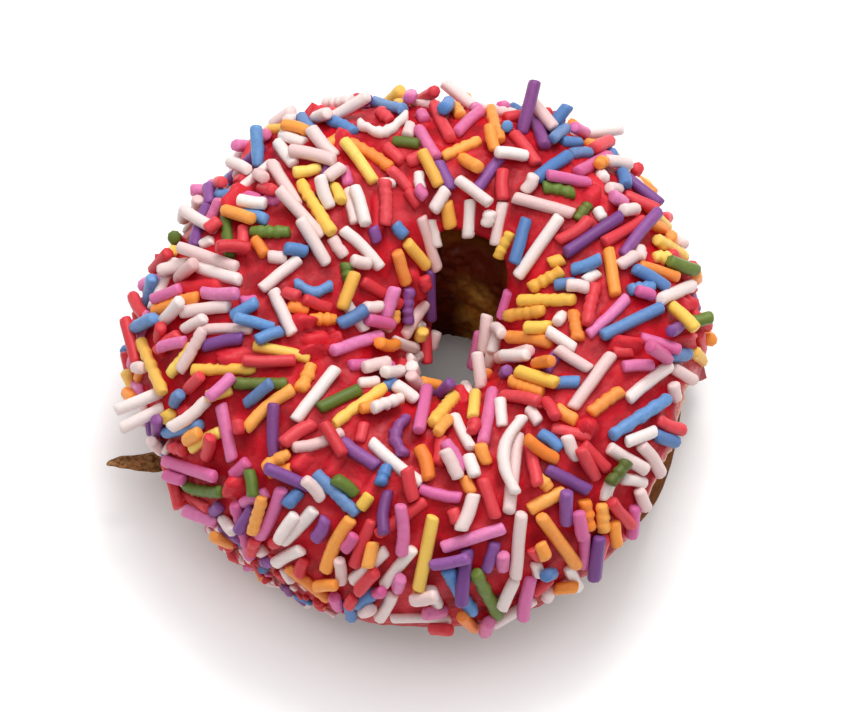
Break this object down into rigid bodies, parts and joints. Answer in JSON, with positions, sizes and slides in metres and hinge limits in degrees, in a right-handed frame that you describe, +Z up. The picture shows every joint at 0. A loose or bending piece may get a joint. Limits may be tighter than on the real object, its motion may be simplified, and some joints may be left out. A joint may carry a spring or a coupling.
{
  "type": "sprinkle frosted doughnut",
  "caption": "Fried dough ring with an off-centre hole, under a shell of red set icing strewn with short coloured sugar sprinkles.",
  "frame": {"origin": "middle of the doughnut's bounding box, at the level of the base that it rests on", "axes": "+Z up, from the fried base to the icing; +X to the right and +Y away, as the doughnut is seen from its front"},
  "size_m": [0.0869, 0.082, 0.0347],
  "materials": {
    "dough": "browned fried crust, satin from its fat",
    "icing": "glossy set icing with soft highlights"
  },
  "bodies": {
    "root": {"dough": "dough", "icing": "icing"}
  },
  "joints": []
}
